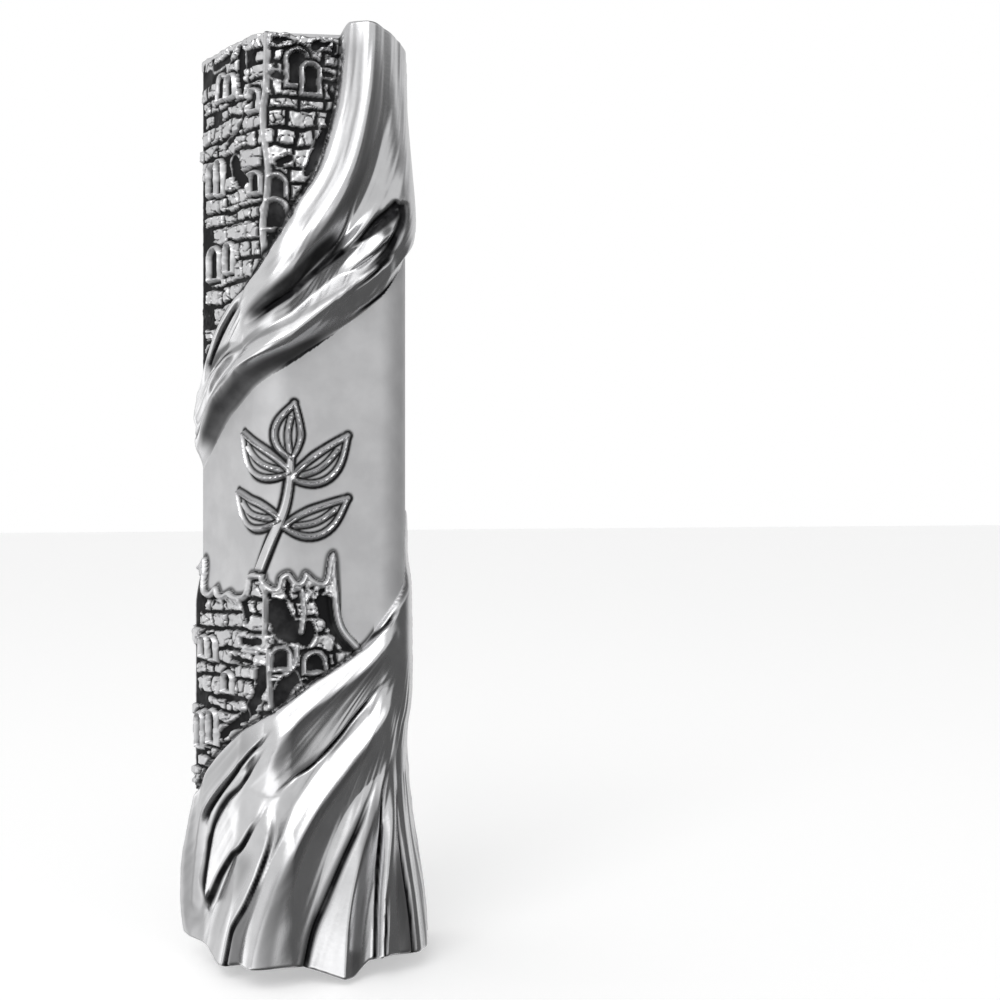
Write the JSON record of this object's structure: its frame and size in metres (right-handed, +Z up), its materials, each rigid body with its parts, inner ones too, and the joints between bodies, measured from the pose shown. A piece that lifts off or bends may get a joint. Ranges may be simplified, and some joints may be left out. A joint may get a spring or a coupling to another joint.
{
  "type": "mezuzah case",
  "caption": "Tall cast doorpost case for a rolled scroll, with draped-cloth and stone-wall relief, a raised emblem and a screwed back plate with keyholes.",
  "frame": {"origin": "middle of the back face, which lies against the doorpost, at half the case's height", "axes": "+Z up along the case, +Y out of the back into the doorpost, so the decorated front faces -Y; +X is to the right as seen from the front"},
  "size_m": [0.0406, 0.022, 0.14],
  "materials": {
    "pewter": "polished cast pewter with dark patina in the recesses",
    "plate_steel": "brushed",
    "screw_steel": "bright zinc",
    "clear_plastic": "clear, glossy",
    "cap_plastic": "matte",
    "parchment": "matte, undyed"
  },
  "bodies": {
    "casting": {"case_casting": "pewter"},
    "plate": {"back_plate": "plate_steel"},
    "screw_1": {"plate_screw_1": "screw_steel"},
    "screw_2": {"plate_screw_2": "screw_steel"},
    "screw_3": {"plate_screw_3": "screw_steel"},
    "screw_4": {"plate_screw_4": "screw_steel"},
    "scroll": {"scroll_sleeve": "clear_plastic", "sleeve_cap_upper": "cap_plastic", "sleeve_cap_lower": "cap_plastic", "klaf_scroll": "parchment"}
  },
  "joints": [
    {"name": "plate_removal", "type": "slide", "parent": "casting", "child": "plate", "axis": [0, 1, 0], "range_m": [0, 0.045]},
    {"name": "scroll_removal", "type": "slide", "parent": "casting", "child": "scroll", "axis": [0, 1, 0], "range_m": [0, 0.0225]},
    {"name": "screw_1_removal", "type": "slide", "parent": "plate", "child": "screw_1", "axis": [0, 1, 0], "range_m": [0, 0.008]},
    {"name": "screw_2_removal", "type": "slide", "parent": "plate", "child": "screw_2", "axis": [0, 1, 0], "range_m": [0, 0.008]},
    {"name": "screw_3_removal", "type": "slide", "parent": "plate", "child": "screw_3", "axis": [0, 1, 0], "range_m": [0, 0.008]},
    {"name": "screw_4_removal", "type": "slide", "parent": "plate", "child": "screw_4", "axis": [0, 1, 0], "range_m": [0, 0.008]}
  ],
  "couplings": [
    {"joint": "scroll_removal", "follows": "plate_removal", "ratio": 0.5}
  ]
}
